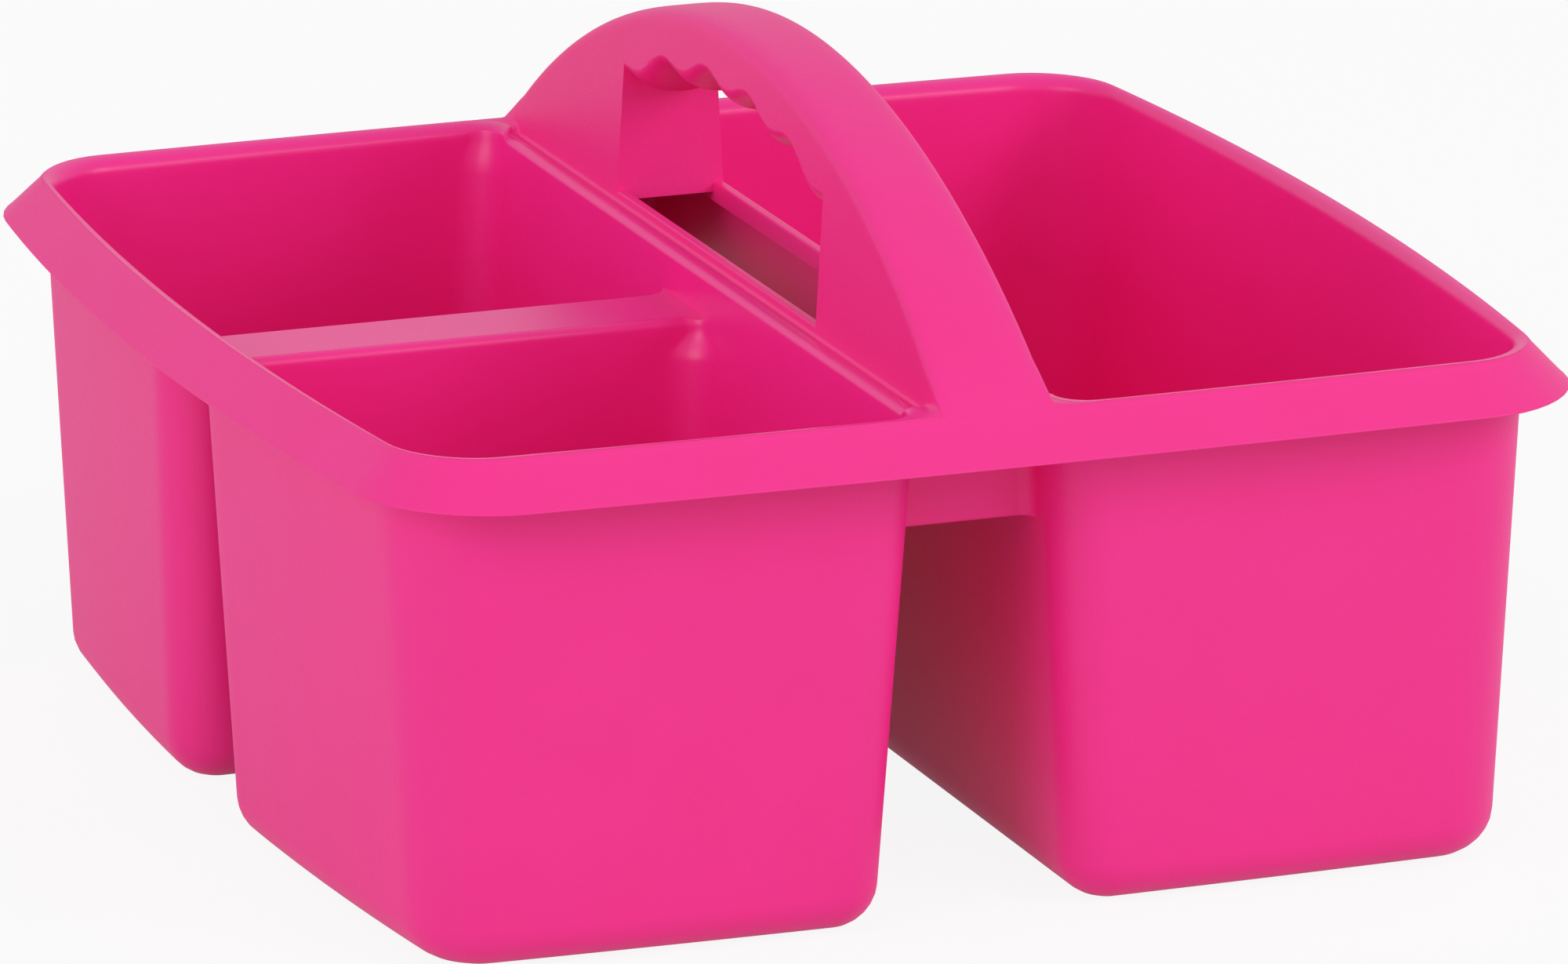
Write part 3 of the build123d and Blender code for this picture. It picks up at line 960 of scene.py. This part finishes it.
# %% [markdown]
# Over the hand hole only the crown is left. Its sides end below in a scalloped edge, because the
# finger bumps of the grip show through there as waves. Bumps set out one by one would have to
# be moved for each new pitch, so bump and groove are one cosine wave, measured along the arc to
# stay equally far apart round the bend.

# %% Handle crown
valley_radius = 140.0
grip_height = 7.6
valley_center_z = overall_height - grip_height - valley_radius
bump_pitch = 20.0
bump_depth = 6.8
groove_depth = 3.3
scallop_depth = 2.2
crown_solid = 4.0
crown_skin = 1.0
crown_foot = 0.5
crown_narrowing = 0.8


def bump_wave(y):
    """From 1 at a bump to 0 at a groove: (1 + cos(2 pi s / pitch)) / 2, with s along the arc."""
    run = (valley_radius - bump_depth) * np.arcsin(y / valley_radius)
    return 0.5 + 0.5 * np.cos(2 * np.pi * run / bump_pitch)


def side_edge(y):
    """Lower edge of the handle's sides over the hole: centre + sqrt(radius^2 - y^2) - wave."""
    return valley_center_z + np.sqrt(valley_radius**2 - y**2) - scallop_depth * bump_wave(y)


def crown_loops(y):
    """Closed sections over the hand hole, ending below in the scalloped edge of the sides."""
    top = column(arch_top(y))
    outer_x, outer_z = both_sides(*over_the_top(top, column(side_edge(y)), top_round))
    roof = np.minimum(outer_z - crown_skin, top - crown_solid)
    inner_z = np.maximum(outer_z[:, :1] + crown_foot, roof)
    return closed_sections(outer_x, outer_z, outer_x * crown_narrowing, inner_z, y)


crown_y = np.linspace(-hole_half, hole_half, 181)
handle_arch = build_mesh("handle_arch", crown_loops(crown_y), "fold", [outer_skin])

# %% [markdown]
# Crown and legs are one arch on the real caddy. A Boolean union would weld them, but leave ragged
# faces where they meet. Their three closed shells only touch where the hand hole ends, so they
# are joined into one object as they are.

# %% One arch from three shells
arch_shells = [handle_arch, front_leg, rear_leg]
with bpy.context.temp_override(active_object=handle_arch, selected_editable_objects=arch_shells):
    bpy.ops.object.join()
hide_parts("handle_left_web", "handle_right_web", "handle_top_strip")
print("handle_arch", len(handle_arch.data.polygons), "faces in three shells")

# %% [markdown]
# Under the crown the fingers rest in a wavy belly. Across, it is half an ellipse from side to
# side; along the handle its depth swings between bump and groove. A displaced cylinder would
# stretch at the crests, while this grid keeps even faces.

# %% Finger grip
belly_lap = 1.6
belly_lap_shares = np.array([-0.9, -0.5, 0.5, 0.9])


def grip_loops(y):
    """Half ellipses z = edge - depth sin(a), x = half cos(a), with depth following the bumps."""
    angle = np.linspace(0, np.pi, 33)
    edge = side_edge(y)
    half = handle_half(edge)
    slant = np.sqrt(1 - (y / valley_radius) ** 2)
    depth = bump_depth - groove_depth + (groove_depth - scallop_depth) * bump_wave(y)
    xs = np.append(half * np.cos(angle), half * belly_lap_shares, 1)
    belly_z = edge - depth / slant * np.sin(angle)
    zs = np.append(belly_z, edge + belly_lap + 0 * belly_lap_shares, 1)
    return np.stack(np.broadcast_arrays(xs, y, zs), -1)


grip = build_mesh("finger_grip_belly", grip_loops(column(crown_y)), "fan", [outer_skin])
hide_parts("finger_grip")

# %% [markdown]
# The two small walls that close the ends of the hand hole are plain flat plates on the real
# caddy too. The solids already have that shape, so they stay and only take the grained finish.

# %% Plates at the ends of the hand hole
for name in ("front_hole_panel", "rear_hole_panel"):
    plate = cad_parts[name]
    plate.data.materials.clear()
    plate.data.materials.append(outer_skin)
    print(name, "takes", outer_skin.name)

# %% [markdown]
# The caddy stands on a pale floor under a white surround. Lighting both until they turned white
# would bleach the plastic as well. So they are plain white only for rays from the camera, from
# reflections and through clear materials, and they light the caddy at an ordinary level.

# %% Which rays see plain white
def math_node(tree, operation, first, second):
    """Output of a sum on two numbers, each a plain value or another node's output."""
    node = tree.nodes.new("ShaderNodeMath")
    node.operation = operation
    for socket, value in zip(node.inputs, (first, second)):
        if isinstance(value, float):
            socket.default_value = value
        else:
            tree.links.new(value, socket)
    return node.outputs[0]


def seen_plainly(tree, mirrored):
    """1 for a camera or transmission ray, the share mirrored for a glossy ray, 0 for others."""
    rays = tree.nodes.new("ShaderNodeLightPath")
    glossy = math_node(tree, "MULTIPLY", rays.outputs["Is Glossy Ray"], mirrored)
    direct = math_node(tree, "MAXIMUM", rays.outputs["Is Camera Ray"], glossy)
    return math_node(tree, "MAXIMUM", direct, rays.outputs["Is Transmission Ray"])


def mix_into(tree, share, lit, plain, output):
    """Surface that goes from the lit shader to the plain one by a share."""
    mix = tree.nodes.new("ShaderNodeMixShader")
    tree.links.new(share, mix.inputs["Fac"])
    tree.links.new(lit, mix.inputs[1])
    tree.links.new(plain, mix.inputs[2])
    tree.links.new(mix.outputs["Shader"], tree.nodes[output].inputs["Surface"])


print("plain white is for camera, glossy and transmission rays")

# %% [markdown]
# The floor could be plain white too, but a thing without a shadow seems to float. A small share
# of it stays a lit grey, which keeps the caddy's soft shadow. It lies a hair below the tubs, so
# that their undersides and the floor don't share one plane.

# %% Floor
floor_half = 8.0
floor_z = -0.0002
floor_white_share = 0.9
floor_mirror_share = 0.5
floor_corners = [
    (x * floor_half, y * floor_half, floor_z) for x, y in ((-1, -1), (1, -1), (1, 1), (-1, 1))
]
floor_mesh = bpy.data.meshes.new("floor")
floor_mesh.from_pydata(floor_corners, [], [(0, 1, 2, 3)])
floor_piece = bpy.data.objects.new("floor", floor_mesh)
bpy.context.scene.collection.objects.link(floor_piece)
floor_material = bpy.data.materials.new("pale_floor")
floor_material.use_nodes = True
floor_tree = floor_material.node_tree
floor_shader = floor_tree.nodes["Principled BSDF"]
floor_shader.inputs["Base Color"].default_value = (0.75, 0.75, 0.75, 1)
floor_shader.inputs["Roughness"].default_value = 0.8
floor_shader.inputs["Specular IOR Level"].default_value = 0.2
floor_white = new_node(floor_tree, "Emission", {"Strength": 1.0})
floor_seen = seen_plainly(floor_tree, floor_mirror_share)
floor_share = math_node(floor_tree, "MULTIPLY", floor_seen, floor_white_share)
floor_parts = (floor_shader.outputs["BSDF"], floor_white.outputs["Emission"])
mix_into(floor_tree, floor_share, *floor_parts, "Material Output")
floor_mesh.materials.append(floor_material)
print("floor", 2 * floor_half, "m wide")

# %% [markdown]
# The surround does the work of a light tent: it fills the tubs and the gap from all sides. A
# picture of a studio would add reflections that belong to no one, so it is one even white.

# %% White surround
surround_strength = 0.57
world = bpy.data.worlds.new("white_surround")
bpy.context.scene.world = world
world.use_nodes = True
surround = world.node_tree.nodes["Background"]
surround.inputs["Color"].default_value = (1, 1, 1, 1)
surround.inputs["Strength"].default_value = surround_strength
bright = new_node(world.node_tree, "Background", {"Strength": 1.0})
world_parts = (surround.outputs["Background"], bright.outputs["Background"])
world_seen = seen_plainly(world.node_tree, 1.0)
mix_into(world.node_tree, world_seen, *world_parts, "World Output")
print("surround lights the caddy at", surround_strength)

# %% [markdown]
# Two large square lamps stand in for studio soft boxes: the stronger one to the front right, the
# weaker one to the left. Large lamps give the broad, soft-edged sheen that satin plastic has; a
# point lamp would give hard glints.

# %% Lamps
lamp_target = Vector((0, 0, 0.06))


def soft_lamp(name, place, size, power):
    """A square lamp that faces the caddy."""
    lamp = bpy.data.lights.new(name, "AREA")
    lamp.size = size
    lamp.energy = power
    holder = bpy.data.objects.new(name, lamp)
    holder.location = place
    aim = lamp_target - Vector(place)
    holder.rotation_euler = aim.to_track_quat("-Z", "Y").to_euler()
    bpy.context.scene.collection.objects.link(holder)
    print(name, power, "W from", round(aim.length, 2), "m")


soft_lamp("key_lamp", (1.10, -1.35, 1.05), 1.0, 12.6)
soft_lamp("left_lamp", (-1.75, -0.75, 0.75), 1.2, 11.2)

# %% [markdown]
# The camera stands more than two metres off with a long lens, a little left of the front and
# above the caddy. From nearer, a short lens would show the same caddy with its rear much smaller.

# %% Camera
camera_roll = np.radians(0.165)
camera_data = bpy.data.cameras.new("camera")
camera_data.lens = 302.34
camera_data.sensor_width = 36
camera_data.sensor_fit = "HORIZONTAL"
camera_data.clip_end = 100
camera = bpy.data.objects.new("camera", camera_data)
camera_place = Vector((-0.78293, -2.06451, 0.67174))
camera_target = Vector((0.000198, -0.007407, 0.051718))
facing = (camera_target - camera_place).to_track_quat("-Z", "Y").to_matrix()
turned = facing @ Matrix.Rotation(camera_roll, 3, "Z")
camera.matrix_world = Matrix.Translation(camera_place) @ turned.to_4x4()
bpy.context.scene.collection.objects.link(camera)
bpy.context.scene.camera = camera
bpy.context.scene.view_settings.view_transform = "Standard"
print("camera", round((camera_target - camera_place).length, 2), "m from the caddy")

# %% [markdown]
# Every piece should stay within the imported solids' box, because other parts are placed by it.

# %% Scene brought up to date
bpy.context.view_layer.update()
